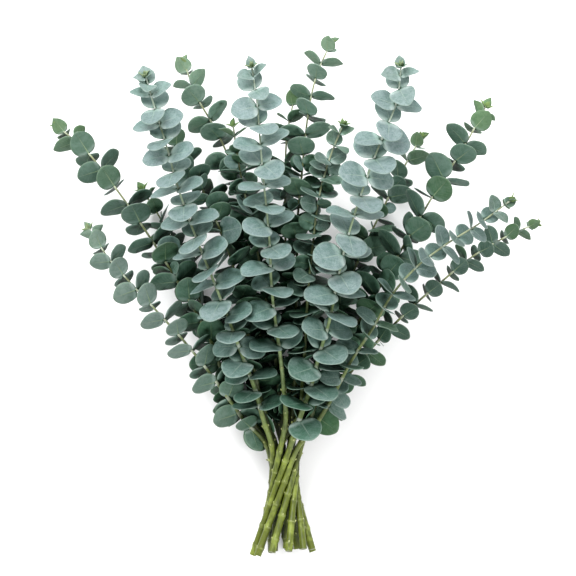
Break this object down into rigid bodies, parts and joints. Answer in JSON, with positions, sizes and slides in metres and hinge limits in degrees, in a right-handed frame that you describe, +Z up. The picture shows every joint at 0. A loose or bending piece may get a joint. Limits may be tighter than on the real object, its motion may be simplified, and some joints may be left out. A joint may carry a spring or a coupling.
{
  "type": "eucalyptus bunch",
  "caption": "Cut eucalyptus branches with round paired leaves, gathered at a spiral neck and fanned out, lying flat on a surface.",
  "frame": {"origin": "middle of the bounding box at its bottom, on the surface that the bunch lies on", "axes": "+Y from the cut ends to the tips, +Z up from the surface, +X to the right seen from above with the tips away"},
  "size_m": [0.4944, 0.5245, 0.1824],
  "materials": {
    "pale_foliage": "matt, with a waxy bloom",
    "grey_foliage": "matt, with a thin waxy bloom",
    "green_foliage": "satin"
  },
  "bodies": {
    "root": {"centre_pale_branch": "pale_foliage", "left_pale_branch": "pale_foliage", "right_pale_branch": "pale_foliage", "right_grey_branch": "grey_foliage", "centre_right_branch": "grey_foliage", "left_low_branch": "grey_foliage", "right_wide_branch": "green_foliage", "left_wide_branch": "green_foliage", "right_low_branch": "green_foliage", "left_middle_branch": "green_foliage", "centre_tall_branch": "green_foliage", "centre_back_branch": "green_foliage", "centre_slim_branch": "green_foliage", "left_tall_branch": "green_foliage", "left_back_branch": "green_foliage", "right_back_branch": "green_foliage"}
  },
  "joints": []
}
